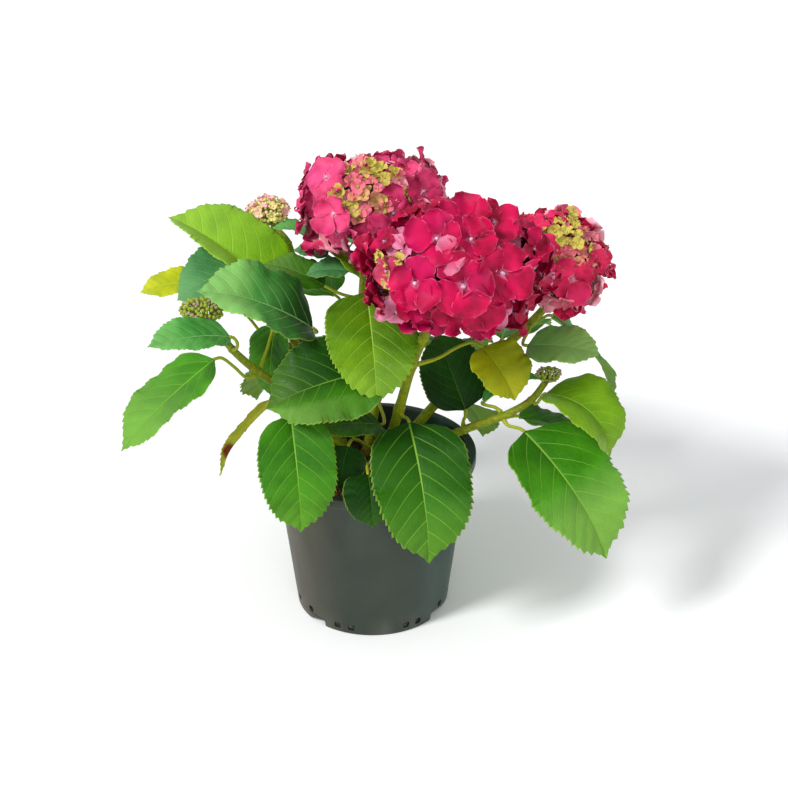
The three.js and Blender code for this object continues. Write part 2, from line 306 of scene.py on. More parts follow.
# ---- leaves ----
ROWS_PER_TOOTH = 4
TEETH = 24                             # along each side of a large blade
TEETH_AT_LEAST = 9
LARGE_BLADE = 110 * MM                 # length of a blade that has all its teeth
TOOTH_DEPTH = 0.015                    # share of the blade's length, as are the next three
QUILT_HEIGHT = 0.011                   # how far the blade rises between two side veins
GROOVE_DEPTH = 0.008                   # of the midrib, seen from above
GROOVE_WIDTH = 0.016
TIP_WIDTH = 0.15 * MM                  # half width of the very tip
COLUMNS = [0, 0.035, 0.12, 0.25, 0.38, 0.51, 0.64, 0.77, 0.88, 0.955, 1]
BLADE_THICKNESS = 0.5 * MM
RIB_DEPTH = 1.6 * MM                   # of the midrib on the underside, at the stalk
STALK_WIDTH = 2.5 * MM                 # half width of the blade where it meets the stalk
VEIN_SPACING = 0.135                   # share of the blade's length between two side veins
VEIN_LEAN = 0.7                        # how far a side vein runs forward for each step outward
VEIN_BEND = 1.1                        # how much more it leans further out
VEIN_STAGGER = 0.03                    # by which one half's veins lead the other's
LEAF_TINTS = {
    # slot: upper side, darker patches, veins, underside; the upper greens run from lime to dark partly by
    # the leaves' own colour and partly as painted light on sunlit leaves and painted shade on low and inner
    # ones
    "leaf_lime": ("#7aae12", "#609408", "#a3c840", "#a6bf5a"),
    "leaf_fresh": ("#6c990c", "#4f7d06", "#9cc044", "#93b250"),
    "leaf_yellow": ("#b2b80a", "#90a008", "#d2d350", "#b6bd58"),
    "leaf_teal": ("#4a844a", "#316c38", "#80ad74", "#7ba078"),
    "leaf_light": ("#57a04a", "#378430", "#93c278", "#8db980"),
    "leaf_mid": ("#418710", "#2e7006", "#80b03a", "#83a858"),
    "leaf_deep": ("#316c08", "#1e5004", "#6f9830", "#769944"),
    "leaf_dark": ("#134206", "#0a2c03", "#44741f", "#4c7030"),
    "leaf_olive": ("#979d06", "#788604", "#b8b434", "#98a030"),
}
LEAF_TONE_AND_PAINTED_SHADING = {
    # leaf: how much deeper (or, below nought, paler) it is at the base, at the tip and on one half; partly
    # the leaf's own tone, partly painted shade where the blade lies in shade and painted light where it lies
    # in sun
    "leaf_front_centre": (0.85, 0.5, 0.0), "leaf_front_left": (0.3, 0.15, 0.12),
    "leaf_front_right": (0.3, -0.3, 0.0), "leaf_left_drooping": (0.0, -0.22, 0.0),
    "leaf_left_large": (0.95, -0.3, 0.0), "leaf_left_centre": (0.85, 0.75, -0.9),
    "leaf_right_pale": (-0.25, -0.55, 0.0), "leaf_left_top": (0.0, -0.15, 0.0),
    "leaf_centre_bright": (0.45, 0.12, 0.2), "leaf_left_edge": (0.25, -0.05, 0.0),
    "leaf_left_behind": (0.0, -0.15, 0.0), "leaf_low_front": (0.75, 0.3, 0.0),
    "leaf_low_left": (0.3, 0.0, 0.0),
}


def leaf_from_solid(name):
    """What a leaf's solid says of it: midrib as a parabola, half widths, across, fold and stalk line."""
    points, neighbours = merged_points(name)
    for tip in range(len(points)):
        layers = layers_from([tip], neighbours)
        if all(len(layer) == 4 for layer in layers[1:]):
            break
    rings = [points[layer] for layer in layers[1:]][::-1]
    stalk = [ring.mean(axis=0) for ring in rings[:4]]
    blade = rings[4:]
    centres = [blade[0].mean(axis=0)]
    arms = []
    for ring in blade[1:]:
        gaps = np.linalg.norm(ring[:, None] - ring[None], axis=2)
        a, b = np.unravel_index(np.argmax(gaps), gaps.shape)
        mid = [i for i in range(4) if i not in (a, b)]
        centres.append(ring[mid].mean(axis=0))
        arms.append((ring[a], ring[b]))
    tip_point = points[tip]
    centres.append(tip_point)
    centres = np.array(centres)
    chord = tip_point - centres[0]
    along = (centres - centres[0]) @ chord / (chord @ chord)
    midrib = np.array([np.polyfit(along, centres[:, k], 2) for k in range(3)])
    across = unit(np.mean([a - b if (a - b) @ (arms[0][0] - arms[0][1]) > 0 else b - a
                           for a, b in arms], axis=0))
    widest = len(arms) // 2 - 1
    a, b = arms[widest]
    slope = unit(np.array([np.polyval(np.polyder(m), along[widest + 1]) for m in midrib]))
    raised = (a + b) / 2 - centres[widest + 1]
    top = unit(np.cross(slope, across))
    if raised @ top < 0:
        across = -across
        top = -top
    fold = math.atan2(raised @ top, np.linalg.norm(a - b) / 2)
    halves = [STALK_WIDTH] + [np.linalg.norm(a - b) / 2 / math.cos(fold) for a, b in arms] + [0.0]
    return {"name": name, "midrib": midrib, "along": along, "halves": np.array(halves), "across": across,
            "fold": fold, "stalk": np.array(stalk + [centres[0]]), "length": np.linalg.norm(chord)}


def hermite(x, knots, values):
    """A smooth line through the knots that doesn't overshoot."""
    slopes = np.gradient(values, knots)
    steps = np.diff(values) / np.diff(knots)
    slopes[1:-1] = np.where(steps[:-1] * steps[1:] <= 0, 0, slopes[1:-1])
    i = np.clip(np.searchsorted(knots, x, side="right") - 1, 0, len(knots) - 2)
    h = knots[i + 1] - knots[i]
    t = (x - knots[i]) / h
    return ((1 + 2 * t) * (1 - t) ** 2 * values[i] + t * (1 - t) ** 2 * h * slopes[i]
            + t ** 2 * (3 - 2 * t) * values[i + 1] - t ** 2 * (1 - t) * h * slopes[i + 1])


def vein_distance(along, out):
    """How far a spot is from the nearest side vein, in shares of the blade's length."""
    start = along - VEIN_LEAN * out - VEIN_BEND * out ** 2
    phase = start / VEIN_SPACING
    return np.abs(phase - np.round(phase)) * VEIN_SPACING


def leaf_tone_and_painted_shading(name, along, column):
    """How much deeper (or, below nought, paler) the green is at a spot of one blade: its own tone with
    painted shade and painted light.
    """
    base, tip, half = LEAF_TONE_AND_PAINTED_SHADING.get(name, (0.0, 0.0, 0.0))
    return base + (tip - base) * smooth(along, 0.1, 0.75) + half * smooth(column, -0.1, 0.5)


def leaf_blemish(name, along, column):
    """The brown spot near the end of the curled leaf, and the scorched tips of three others."""
    flat = np.zeros(np.broadcast(along, column).shape)
    if name == "leaf_left_curled":
        return flat + 1 - smooth(np.hypot((along - 0.72) * 9, column * 0.8), 0.5, 1.0)
    if name in ("leaf_low_shaded", "leaf_right_pale", "leaf_centre_bright"):
        return flat + 0.7 * smooth(along, 0.955, 1.0)
    return flat


def blade_mesh(leaf, seed, curl, ruffle):
    """Points, faces and uv of a blade, the faces' sides (0 upper, 1 lower) and the points' marks."""
    rng = np.random.default_rng(seed)
    length = leaf["length"]
    teeth = max(TEETH_AT_LEAST, round(TEETH * min(1.0, length / LARGE_BLADE) ** 0.7))
    rows = teeth * ROWS_PER_TOOTH
    t = np.linspace(0, 1, rows + 1)
    half = np.maximum(hermite(t, leaf["along"], leaf["halves"]), 0)
    half *= 1 - 0.42 * smooth(t, 0.84, 0.965)      # the drawn-out point
    half[-1] = TIP_WIDTH
    tooth = (np.arange(rows + 1) % ROWS_PER_TOOTH) / (ROWS_PER_TOOTH - 1)
    bite = TOOTH_DEPTH * length * (0.35 + 0.65 * smooth(t, 0.1, 0.5)) * (1 - smooth(t, 0.9, 1))
    bite = bite * np.repeat(rng.uniform(0.5, 1.5, teeth + 1), ROWS_PER_TOOTH)[:rows + 1]

    centre = np.array([np.polyval(m, t) for m in leaf["midrib"]]).T
    slope = unit(np.array([np.polyval(np.polyder(m), t) for m in leaf["midrib"]]).T)
    across = leaf["across"]
    top = unit(np.cross(slope, across))
    wave_turn = rng.uniform(0, 2 * math.pi, 2)
    wave_count = rng.uniform(1.6, 2.6, 2)
    drop_tip = curl * length * smooth(t, 0.62, 1.0) ** 1.6

    columns = np.array([-c for c in COLUMNS[:0:-1]] + COLUMNS)
    points = np.zeros((rows + 1, len(columns), 3))
    uv = np.zeros((rows + 1, len(columns), 2))
    for j, c in enumerate(columns):
        share = abs(c)
        side = 1 if c >= 0 else -1
        wave = 0 if side > 0 else 1
        jag = bite * (tooth * rng.uniform(0.8, 1.2) - 0.35) * share ** 7
        out = share * half + jag * (half > 0)
        lift = math.sin(leaf["fold"]) * half * (1.45 * share - 0.45 * share ** 3)
        ripple = ruffle * half * share ** 2 * np.sin(2 * math.pi * wave_count[wave] * t + wave_turn[wave])
        ripple += ruffle * 0.35 * half * share ** 3 * np.sin(2 * math.pi * 6.3 * t + wave_turn[1 - wave])
        gap = vein_distance(t + VEIN_STAGGER * side, out / length)
        inside = smooth(share, 0.02, 0.2) * (1 - 0.75 * smooth(share, 0.8, 1))
        quilt = QUILT_HEIGHT * length * inside * (smooth(gap, 0.0, 0.5 * VEIN_SPACING) - 0.5)
        groove = -GROOVE_DEPTH * length * np.exp(-(out / (GROOVE_WIDTH * length)) ** 2) * (1 - 0.7 * t)
        height = lift + ripple + quilt + groove - drop_tip
        forward = bite * 0.9 * tooth * share ** 7
        points[:, j] = (centre + across * (side * out * math.cos(leaf["fold"]))[:, None]
                        + top * height[:, None] + slope * forward[:, None])
        uv[:, j] = np.column_stack([0.5 + side * out / length, t])
    edge = np.tile(np.abs(columns), (rows + 1, 1))
    # each point's tone with painted shade (deeper) and painted light (paler)
    tone_and_painted_shading = leaf_tone_and_painted_shading(leaf["name"], t[:, None], columns[None, :])
    blemish = leaf_blemish(leaf["name"], t[:, None], columns[None, :])

    down = np.gradient(points, axis=0)
    sideways = np.gradient(points, axis=1)
    normal = unit(np.cross(down, sideways))
    normal *= np.sign(np.sum(normal * top[:, None], axis=2, keepdims=True))
    rib = np.exp(-((uv[..., 0] - 0.5) / 0.014) ** 2) * (1 - t[:, None]) * RIB_DEPTH
    under = points - normal * (BLADE_THICKNESS + rib)[..., None]

    width = len(columns)
    index = np.arange((rows + 1) * width).reshape(rows + 1, width)
    a, b, c, d = index[:-1, :-1], index[1:, :-1], index[1:, 1:], index[:-1, 1:]
    upper = np.stack([a, d, c, b], axis=-1).reshape(-1, 4)
    shift = (rows + 1) * width
    lower = upper[:, ::-1] + shift
    border = np.concatenate([index[:, 0], index[-1, 1:], index[::-1, -1][1:], index[0, ::-1][1:]])
    ahead = np.roll(border, -1)
    rim = np.stack([border, ahead, ahead + shift, border + shift], axis=-1)
    mid = len(COLUMNS) - 1
    facing = np.cross(points[1, mid] - points[0, mid], points[0, mid + 1] - points[0, mid]) @ top[0]
    if facing > 0:
        upper, lower, rim = upper[:, ::-1], lower[:, ::-1], rim[:, ::-1]
    faces = np.vstack([upper, rim, lower])
    face_sides = np.concatenate([np.zeros(len(upper) + len(rim)), np.ones(len(lower))])
    every_point = np.vstack([points.reshape(-1, 3), under.reshape(-1, 3)])
    marks = {"edge": edge, "tone_and_painted_shading": tone_and_painted_shading, "blemish": blemish}
    marks = {key: np.tile(values.ravel(), 2) for key, values in marks.items()}
    return (every_point, faces.tolist(), np.tile(uv.reshape(-1, 2), (2, 1))), face_sides, marks


def stalk_mesh(leaf):
    line = catmull(leaf["stalk"], 5)
    share = np.linspace(0, 1, len(line))
    radii = MM * (2.3 - 0.7 * smooth(share, 0, 0.25) - 0.1 * share)
    return tube(line, radii, 8)


# habit of leaves: how far the tip curls down, and how strongly the margin ruffles
USUAL_HABIT = (0.035, 0.075)
LEAF_HABIT = {
    "leaf_left_drooping": (0.03, 0.07), "leaf_left_top": (0.0, 0.03), "leaf_right_dark": (0.0, 0.03),
    "leaf_left_curled": (0.06, 0.1), "leaf_right_olive": (0.05, 0.07), "leaf_right_pale": (0.0, 0.06),
    "leaf_centre_bright": (0.05, 0.08), "leaf_left_edge": (-0.02, 0.07),
}
LEFT_SPRAY = -50 * MM                  # leaves whose middle is left of this make the left piece
RIGHT_SPRAY = 75 * MM                  # and those right of this the right one


def leaf_material(slot, codes):
    """The upper side: clouded green, a net of veins, a pale margin, and the leaf's tone with painted shade
    and painted light.
    """
    upper, patch, vein, _ = codes
    material, tree = new_material("upper_" + slot, 0.42, 0.13)
    place = shape_place(tree)
    split = parts_of(tree, place)
    sideways = maths(tree, "SUBTRACT", split[0], 0.5)
    out = maths(tree, "ABSOLUTE", sideways)
    along = split[1]
    lean = times(tree, out, VEIN_LEAN)
    bend = times(tree, times(tree, out, out), VEIN_BEND)
    start = maths(tree, "SUBTRACT", maths(tree, "SUBTRACT", along, lean), bend)
    stagger = times(tree, maths(tree, "SIGN", sideways), VEIN_STAGGER)
    start = maths(tree, "ADD", start, stagger)
    phase = maths(tree, "DIVIDE", start, VEIN_SPACING)
    near = maths(tree, "ABSOLUTE", maths(tree, "SUBTRACT", phase, maths(tree, "ROUND", phase)))
    side_vein = stepped(tree, near, 0.01, 0.055, 1.0, 0.0)
    side_vein = times(tree, side_vein, stepped(tree, out, 0.1, 0.36, 1.0, 0.2))
    narrow = maths(tree, "DIVIDE", out, stepped(tree, along, 0.0, 1.0, 1.0, 0.3))
    midrib = stepped(tree, narrow, 0.003, 0.0105, 1.0, 0.0)
    faint = stepped(tree, along, 0.35, 0.95, 0.85, 0.4)
    ladder = [times(tree, phase, 3.2), times(tree, sideways, 34.0), 0.0]
    ladder = node(tree, "ShaderNodeCombineXYZ", ladder).outputs[0]
    cells = node(tree, "ShaderNodeTexVoronoi", {"Vector": ladder, "Scale": 1.0},
                 feature="DISTANCE_TO_EDGE").outputs["Distance"]
    net = stepped(tree, cells, 0.02, 0.12, 1.0, 0.0)
    cloud = noise(tree, 26.0, 3.0, object_place(tree))
    base = mixed(tree, stepped(tree, cloud, 0.35, 0.68), upper, patch)
    base = mixed(tree, times(tree, net, 0.05), base, vein)
    # the leaf's tone with painted shade, deeper towards a dark green, and painted light, paler towards a
    # light green
    tone_and_painted_shading = attribute(tree, "tone_and_painted_shading")
    base = mixed(tree, larger(tree, tone_and_painted_shading, 0.0), base, "#0e3604")
    base = mixed(tree, larger(tree, times(tree, tone_and_painted_shading, -1.0), 0.0), base, "#a2c868")
    base = mixed(tree, stepped(tree, along, 0.5, 1.0, 0.0, 0.25), base, vein)
    veins = larger(tree, times(tree, side_vein, 0.42), times(tree, midrib, faint))
    base = mixed(tree, veins, base, vein)
    rim = stepped(tree, attribute(tree, "edge"), 0.96, 1.0, 0.0, 0.4)
    base = mixed(tree, rim, base, "#a5b84a")
    base = mixed(tree, attribute(tree, "blemish"), base, "#6e2c12")
    relief = times(tree, larger(tree, side_vein, midrib), -1.0)
    relief = maths(tree, "SUBTRACT", relief, times(tree, net, 0.35))
    return finish_surface(material, base, relief, 0.55, 0.0006)


def underside_material(slot, codes):
    material, tree = new_material("underside_" + slot, 0.62, 0.15)
    cloud = noise(tree, 60.0, 4.0, object_place(tree))
    base = mixed(tree, stepped(tree, cloud, 0.3, 0.7), codes[3], codes[2])
    base = mixed(tree, attribute(tree, "blemish"), base, "#6e2c12")
    return finish_surface(material, base, cloud, 0.3, 0.0005)


def stalk_material():
    material, tree = new_material("leaf_stalk_green", 0.4, 0.22)
    place = object_place(tree)
    cloud = noise(tree, 45.0, 3.0, place)
    base = mixed(tree, stepped(tree, cloud, 0.35, 0.7), "#84980e", "#9aa01c")
    return finish_surface(material, base, noise(tree, 300.0, 2.0, place), 0.25, 0.0004)


def make_leaves():
    """One piece of leaves for each part of the plant, in place of its leaf solids."""
    slots = {row["node"]: row["material_slot"] for row in frame["record"]["subparts"]}
    materials = {}
    for slot, codes in LEAF_TINTS.items():
        materials[slot] = (leaf_material(slot, codes), underside_material(slot, codes))
    stalk_green = stalk_material()
    sprays = {"left": [], "centre": [], "right": [], "rear": []}
    for name in sorted(n for n in frame["nodes"] if n.startswith("leaf_")):
        low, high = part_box(name)
        middle = (low + high) / 2
        if "rear" in name:
            sprays["rear"].append(name)
        elif middle.x < LEFT_SPRAY:
            sprays["left"].append(name)
        elif middle.x > RIGHT_SPRAY:
            sprays["right"].append(name)
        else:
            sprays["centre"].append(name)
    for spray, names in sprays.items():
        used = sorted({slots[n] for n in names})
        palette = [stalk_green] + [m for slot in used for m in materials[slot]]
        parts, face_material = [], []
        marks = {"edge": [], "tone_and_painted_shading": [], "blemish": []}
        for i, name in enumerate(names):
            leaf = leaf_from_solid(name)
            blade, sides, values = blade_mesh(leaf, 100 + i, *LEAF_HABIT.get(name, USUAL_HABIT))
            stalk = stalk_mesh(leaf)
            parts += [blade, stalk]
            upper_side = 1 + 2 * used.index(slots[name])
            face_material += (upper_side + sides).tolist() + [0] * len(stalk[1])
            for key in marks:
                marks[key] += [values[key], np.zeros(len(stalk[0]))]
        points, faces, uv = joined(parts)
        piece = mesh_object("leaves_" + spray, points, faces, palette, face_material, uv,
                            {key: np.concatenate(marks[key]) for key in marks})
        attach(piece, "root")
        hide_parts(*names)


# ---- canes ----
CANE_SIDES = 18
RINGS_PER_NODE = 3                     # rings of the solid from one leaf node to the next
NODE_SWELL = 0.22


def cane_line(name):
    """Centre points and radii of a cane's solid, from its foot on the potting mix to its end."""
    points, neighbours = merged_points(name)
    lowest = points[:, 2].min()
    foot = [i for i, p in enumerate(points) if p[2] < lowest + 0.01 * MM]
    rings = [points[layer] for layer in layers_from(foot, neighbours)]
    centres = np.array([ring.mean(axis=0) for ring in rings])
    radii = np.array([np.linalg.norm(ring - c, axis=1).mean() for ring, c in zip(rings, centres)])
    return centres, radii


def cane_material(name, young, old, old_reach):
    """Young bark above, old bark for the first stretch, and corky dashes along it."""
    material, tree = new_material(name, 0.45, 0.2)
    place = shape_place(tree)
    split = parts_of(tree, place)
    streak = stretched(tree, place, (1.0, 0.32, 1.0))
    cells = node(tree, "ShaderNodeTexVoronoi", {"Vector": streak, "Scale": 5.5}).outputs["Distance"]
    dash = stepped(tree, cells, 0.16, 0.3, 1.0, 0.0)
    cloud = noise(tree, 2.2, 3.0, place)
    base = mixed(tree, stepped(tree, cloud, 0.35, 0.7), young, "#8f9016")
    height = maths(tree, "ADD", split[1], times(tree, cloud, 2.0))
    base = mixed(tree, stepped(tree, height, old_reach, old_reach + 2.4, 1.0, 0.0), base, old)
    base = mixed(tree, times(tree, dash, 0.75), base, "#8a5a22")
    grain = noise(tree, 9.0, 4.0, stretched(tree, place, (4, 0.6, 1)))
    relief = maths(tree, "ADD", times(tree, dash, 0.8), grain)
    return finish_surface(material, base, relief, 0.5, 0.0008)


def make_canes():
    """Round canes with swollen nodes, in place of the cane solids."""
    green = cane_material("green_cane_bark", "#657e08", "#5d4a22", 1.2)
    woody = cane_material("woody_cane_bark", "#6f8408", "#4e3322", 5.0)
    for name in sorted(n for n in frame["nodes"] if n.startswith("cane_")):
        centres, radii = cane_line(name)
        per_span = 6
        line = catmull(centres, per_span)
        thick = np.interp(np.arange(len(line)) / per_span, np.arange(len(radii)), radii)
        place = np.arange(len(line)) / per_span / RINGS_PER_NODE
        step = np.linalg.norm(centres[1] - centres[0])
        near = np.abs(place - np.round(place)) * RINGS_PER_NODE * step
        at_node = (np.round(place) > 0) & (np.round(place) < (len(centres) - 1) / RINGS_PER_NODE)
        thick = thick * (1 + NODE_SWELL * at_node * np.exp(-(near / (3.2 * MM)) ** 2))
        thick = thick * (1 + 0.5 * np.exp(-(line[:, 2] - line[0, 2]) / (5 * MM)))
        line[0, 2] -= 3 * MM
        points, faces, uv = tube(line, thick, CANE_SIDES)
        bark = woody if name == "cane_centre" else green
        piece = mesh_object(name + "_bark", points, faces, [bark], uv=uv)
        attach(piece, "root")
        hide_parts(name)


# ---- copies of small shapes, placed by Geometry Nodes ----
def scatter_tree():
    """A tree that puts one of several shapes on each point of a mesh.

    The points carry aim, spin and size. A shape's faces marked as bead take the centre material."""
    tree = bpy.data.node_groups.new("scatter_shapes", "GeometryNodeTree")
    inputs = {"Geometry": "Geometry", "Shapes": "Collection", "Number of shapes": "Int",
              "Outer material": "Material", "Centre material": "Material", "Seed": "Int"}
    for name, kind in inputs.items():
        tree.interface.new_socket(name, in_out="INPUT", socket_type="NodeSocket" + kind)
    tree.interface.new_socket("Geometry", in_out="OUTPUT", socket_type="NodeSocketGeometry")
    given = node(tree, "NodeGroupInput").outputs

    def named(name, kind="FLOAT"):
        return node(tree, "GeometryNodeInputNamedAttribute", {"Name": name}, data_type=kind).outputs[0]

    shapes = node(tree, "GeometryNodeCollectionInfo", {
        "Collection": given["Shapes"], "Separate Children": True, "Reset Children": True})
    last = maths(tree, "SUBTRACT", given["Number of shapes"], 1.0)
    choice = node(tree, "FunctionNodeRandomValue", {5: last, "Seed": given["Seed"]}, data_type="INT")
    facing = node(tree, "FunctionNodeAlignRotationToVector", {"Vector": named("aim", "FLOAT_VECTOR")},
                  axis="Z")
    turn = node(tree, "FunctionNodeAxisAngleToRotation", {"Axis": (0, 0, 1), "Angle": named("spin")})
    rotation = node(tree, "FunctionNodeRotateRotation", [facing.outputs[0], turn.outputs[0]],
                    rotation_space="LOCAL")
    copies = node(tree, "GeometryNodeInstanceOnPoints", {
        "Points": given["Geometry"], "Instance": shapes.outputs[0], "Pick Instance": True,
        "Instance Index": choice.outputs[2], "Rotation": rotation.outputs[0], "Scale": named("size")})
    real = node(tree, "GeometryNodeRealizeInstances", {"Geometry": copies.outputs[0]})
    outer = node(tree, "GeometryNodeSetMaterial", {
        "Geometry": real.outputs[0], "Material": given["Outer material"]})
    is_bead = node(tree, "FunctionNodeCompare", [named("bead"), 0.5], operation="GREATER_THAN",
                   data_type="FLOAT")
    centre = node(tree, "GeometryNodeSetMaterial", {
        "Geometry": outer.outputs[0], "Selection": is_bead.outputs[0], "Material": given["Centre material"]})
    node(tree, "NodeGroupOutput", [centre.outputs[0]])
    return tree


def scatter(name, tree, shapes, points, aims, spins, sizes, pale, outer, centre, seed):
    """The scattered copies as one plain mesh object."""
    seeds = bpy.data.meshes.new(name + "_points")
    seeds.from_pydata([tuple(p) for p in points], [], [])
    seeds.attributes.new("aim", "FLOAT_VECTOR", "POINT").data.foreach_set(
        "vector", np.asarray(aims, np.float32).ravel())
    for key, values in (("spin", spins), ("size", sizes), ("pale", pale)):
        seeds.attributes.new(key, "FLOAT", "POINT").data.foreach_set("value", np.asarray(values, np.float32))
    holder = placed(name + "_points", seeds)
    modifier = holder.modifiers.new("scatter", "NODES")
    modifier.node_group = tree
    sockets = {s.name: s.identifier for s in tree.interface.items_tree if s.in_out == "INPUT"}
    settings = {"Shapes": shapes, "Number of shapes": len(shapes.objects), "Outer material": outer,
                "Centre material": centre, "Seed": seed}
    for key, value in settings.items():
        modifier[sockets[key]] = value
    graph = bpy.context.evaluated_depsgraph_get()
    mesh = bpy.data.meshes.new_from_object(holder.evaluated_get(graph))
    mesh.name = name
    bpy.data.objects.remove(holder)
    return placed(name, mesh)


def shape_collection(name, objects):
    """The shapes in a collection of their own, out of the scene's."""
    group = bpy.data.collections.new(name)
    bpy.context.scene.collection.children.link(group)
    for shape in objects:
        bpy.context.scene.collection.objects.unlink(shape)
        group.objects.link(shape)
    return group


def remove_shapes(group):
    for shape in list(group.objects):
        bpy.data.objects.remove(shape)
    bpy.data.collections.remove(group)


# ---- florets ----
SEPAL_ROWS = 10
SEPAL_COLUMNS = 8
NOTCH_DEPTH = 0.17                     # of the toothed margin, as a share of the sepal's half width
SEPAL_GAP = 0.045                      # by which every second sepal lies higher, in floret radii


def ball(radius, centre, sides=8, rings=5, stretch=1.0):
    """Points and faces of a small closed ball."""
    points = [centre - np.array([0, 0, radius * stretch])]
    for r in range(1, rings):
        fall = math.pi * r / rings - math.pi / 2
        for k in range(sides):
            turn = 2 * math.pi * k / sides
            flat = radius * math.cos(fall)
            points.append(centre + np.array([flat * math.cos(turn), flat * math.sin(turn),
                                             radius * stretch * math.sin(fall)]))
    points.append(centre + np.array([0, 0, radius * stretch]))
    return np.array(points), turned_faces(rings - 1, sides)


def floret_shape(name, seed, rise, cup, sepals=4, bead=0.085):
    """A floret of unit radius: broad toothed sepals about a round bead, facing +Z."""
    rng = np.random.default_rng(seed)
    parts, marks = [], []
    s = np.linspace(0, 1, SEPAL_ROWS + 1)
    c = np.linspace(-1, 1, SEPAL_COLUMNS + 1)
    grid_s, grid_c = np.meshgrid(s, c, indexing="ij")
    uv = np.stack([0.5 + 0.5 * grid_c, grid_s], axis=-1).reshape(-1, 2)
    index = np.arange(grid_s.size).reshape(grid_s.shape)
    quads = np.stack([index[:-1, 1:], index[1:, 1:], index[1:, :-1], index[:-1, :-1]], axis=-1)
    quads = quads.reshape(-1, 4).tolist()
    for k in range(sepals):
        turn = 2 * math.pi * (k + rng.uniform(-0.09, 0.09)) / sepals
        reach = rng.uniform(0.84, 1.12)
        outline = grid_s ** 0.72 * (1 - grid_s ** 2.7) ** 0.78
        half = rng.uniform(0.84, 1.1) * (4 / sepals) ** 0.5 * outline
        notches = rng.uniform(-1, 1, (len(s), 2))[:, (grid_c[0] > 0).astype(int)]
        half = half * (1 + NOTCH_DEPTH * notches * np.abs(grid_c) ** 5 * smooth(grid_s, 0.3, 0.6))
        x = grid_c * half
        y = 0.03 + grid_s * reach
        tilt = rise + rng.uniform(-0.24, 0.24)
        twist = rng.uniform(-0.38, 0.38)
        ripple = 0.085 * np.sin(3.4 * grid_s + 2.4 * grid_c + rng.uniform(0, 6)) * (grid_s + 0.15)
        ripple += 0.11 * np.abs(grid_c) ** 2 * np.sin(10 * grid_s + 2 * grid_c + rng.uniform(0, 6))
        arch = tilt * grid_s - (0.1 + tilt * 0.35) * grid_s ** 2
        hollow = (cup + rng.uniform(-0.1, 0.1)) * grid_c ** 2 * half
        crease = 0.035 * np.exp(-(grid_c / 0.14) ** 2) * grid_s
        z = arch + hollow + ripple + twist * x * grid_s + SEPAL_GAP * (k % 2) - crease
        turned_x = x * math.cos(turn) - y * math.sin(turn)
        turned_y = x * math.sin(turn) + y * math.cos(turn)
        points = np.stack([turned_x, turned_y, z], axis=-1).reshape(-1, 3)
        parts.append((points, quads, uv))
        marks.append(np.zeros(len(points)))
    points, faces = ball(bead, np.array([0, 0, bead * 0.7]))
    parts.append((points, faces, np.full((len(points), 2), 0.5)))
    marks.append(np.ones(len(points)))
    points, faces, uv = joined(parts)
    return mesh_object(name, points, faces, uv=uv, marks={"bead": np.concatenate(marks)})


def sepal_material(name, deep, bright, cool, pale):
    """Sepals from deep to bright, cooler in places, the pale ones paler to the margin, finely veined, with a
    thin pale rim that is partly painted highlight.
    """
    material, tree = new_material(name, 0.5, 0.14)
    place = shape_place(tree)
    split = parts_of(tree, place)
    cloud = noise(tree, 55.0, 3.0, object_place(tree))
    tint = attribute(tree, "pale")
    base = mixed(tree, stepped(tree, cloud, 0.32, 0.66), deep, bright)
    drift = noise(tree, 17.0, 2.0, object_place(tree))
    base = mixed(tree, stepped(tree, drift, 0.48, 0.7, 0.0, 0.4), base, cool)
    far = stepped(tree, split[1], 0.25, 1.0)
    sideways = maths(tree, "ABSOLUTE", maths(tree, "SUBTRACT", split[0], 0.5))
    margin = larger(tree, far, stepped(tree, sideways, 0.3, 0.5))
    wash = times(tree, stepped(tree, tint, 0.45, 1.0), maths(tree, "MULTIPLY_ADD", margin, 0.6, 0.4))
    base = mixed(tree, wash, base, pale)
    base = mixed(tree, stepped(tree, tint, 0.0, 0.3, 0.6, 0.0), base, deep)
    lines = noise(tree, 6.0, 2.0, stretched(tree, place, (9, 0.7, 1)))
    base = mixed(tree, stepped(tree, lines, 0.56, 0.66, 0.0, 0.3), base, deep)
    # a thin pale rim on every sepal, partly a paler margin and partly painted highlight along the edge
    pale_rim_and_painted_highlight = larger(tree, stepped(tree, sideways, 0.455, 0.5), stepped(tree, split[1], 0.9, 1.0))
    broken = stepped(tree, noise(tree, 7.0, 2.0, place), 0.4, 0.65, 0.04, 0.42)
    base = mixed(tree, times(tree, pale_rim_and_painted_highlight, broken), base, pale)
    throat = stepped(tree, split[1], 0.02, 0.16, 0.55, 0.0)
    base = mixed(tree, throat, base, pale)
    return finish_surface(material, base, lines, 0.35, 0.0006)


def bead_material(name, code, dark, roughness=0.45):
    material, tree = new_material(name, roughness, 0.2)
    cloud = noise(tree, 240.0, 2.0, object_place(tree))
    base = mixed(tree, stepped(tree, cloud, 0.35, 0.65), code, dark)
    return finish_surface(material, base, cloud, 0.2, 0.0003)


def young_material(name, green, ripe):
    """Colour from green to ripe by each shape's pale mark."""
    material, tree = new_material(name, 0.5, 0.14)
    cloud = noise(tree, 160.0, 2.0, object_place(tree))
    share = maths(tree, "ADD", attribute(tree, "pale"), maths(tree, "MULTIPLY_ADD", cloud, 0.5, -0.25))
    base = mixed(tree, stepped(tree, share, 0.3, 0.8), green, ripe)
    return finish_surface(material, base, cloud, 0.25, 0.0004)


